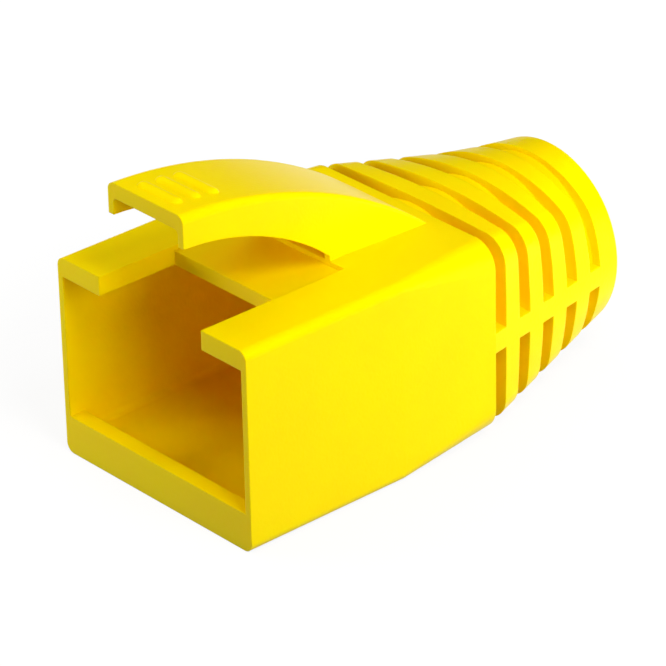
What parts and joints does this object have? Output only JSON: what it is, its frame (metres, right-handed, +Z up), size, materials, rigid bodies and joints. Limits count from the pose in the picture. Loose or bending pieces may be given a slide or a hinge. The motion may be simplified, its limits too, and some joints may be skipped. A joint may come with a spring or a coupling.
{
  "type": "strain relief boot",
  "caption": "Moulded strain relief boot for a modular plug: thin-walled hood, arched hollow lever over the latch, ribbed thumb grip and a grooved tail round a cable bore.",
  "frame": {"origin": "centre of the bounding box's base: on the underside, halfway along the boot and across it", "axes": "+Y the way the plug goes in, from the mouth towards the tail; +Z up, towards the latch lever; X across"},
  "size_m": [0.014, 0.0266, 0.0166],
  "materials": {
    "boot": "satin moulded flexible vinyl, dyed yellow through"
  },
  "bodies": {
    "root": {"strain_relief_boot": "boot"}
  },
  "joints": []
}
